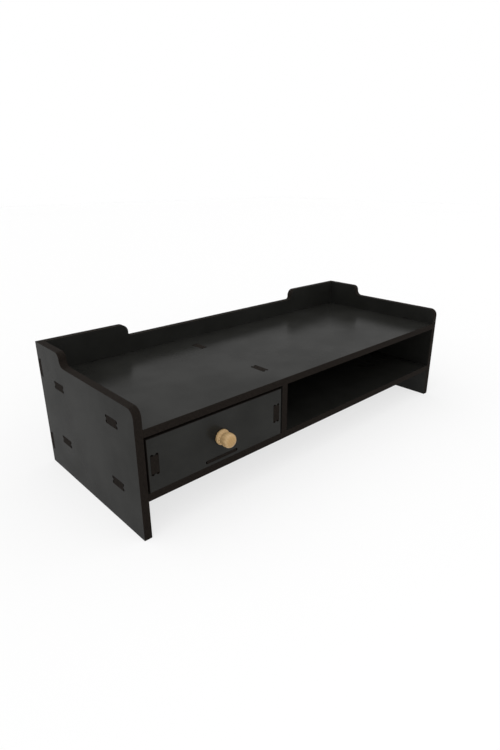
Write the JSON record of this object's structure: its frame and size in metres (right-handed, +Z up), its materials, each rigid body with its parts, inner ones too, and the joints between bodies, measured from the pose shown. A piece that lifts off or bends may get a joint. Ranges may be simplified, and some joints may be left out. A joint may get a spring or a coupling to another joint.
{
  "type": "monitor stand with drawer",
  "caption": "Flat-pack desk stand for a monitor: slotted dark boards, raised rear ears, a small drawer at the left, an open paper bay and room for a keyboard beneath.",
  "frame": {"origin": "on the floor, at the middle of the bounding box of the stand with its knob", "axes": "+Z up, front faces -Y, +X to the right of someone who faces the drawer"},
  "size_m": [0.5, 0.215, 0.146],
  "materials": {
    "board": "black-faced fibreboard with dark cut edges, matt",
    "thin_board": "thin black-faced fibreboard, matt",
    "knob": "turned light hardwood, fine sanded, clear matt lacquer",
    "screw": "zinc-plated steel"
  },
  "bodies": {
    "stand": {"side_left": "board", "side_right": "board", "back_panel": "board", "top_shelf": "board", "bottom_shelf": "board", "divider": "board"},
    "drawer": {"drawer_front": "board", "drawer_side_left": "board", "drawer_side_right": "board", "drawer_back": "board", "drawer_bottom": "thin_board", "drawer_knob": "knob", "knob_screw": "screw"}
  },
  "joints": [
    {"name": "drawer_slide", "type": "slide", "parent": "stand", "child": "drawer", "axis": [0, -1, 0], "range_m": [0, 0.15]}
  ]
}
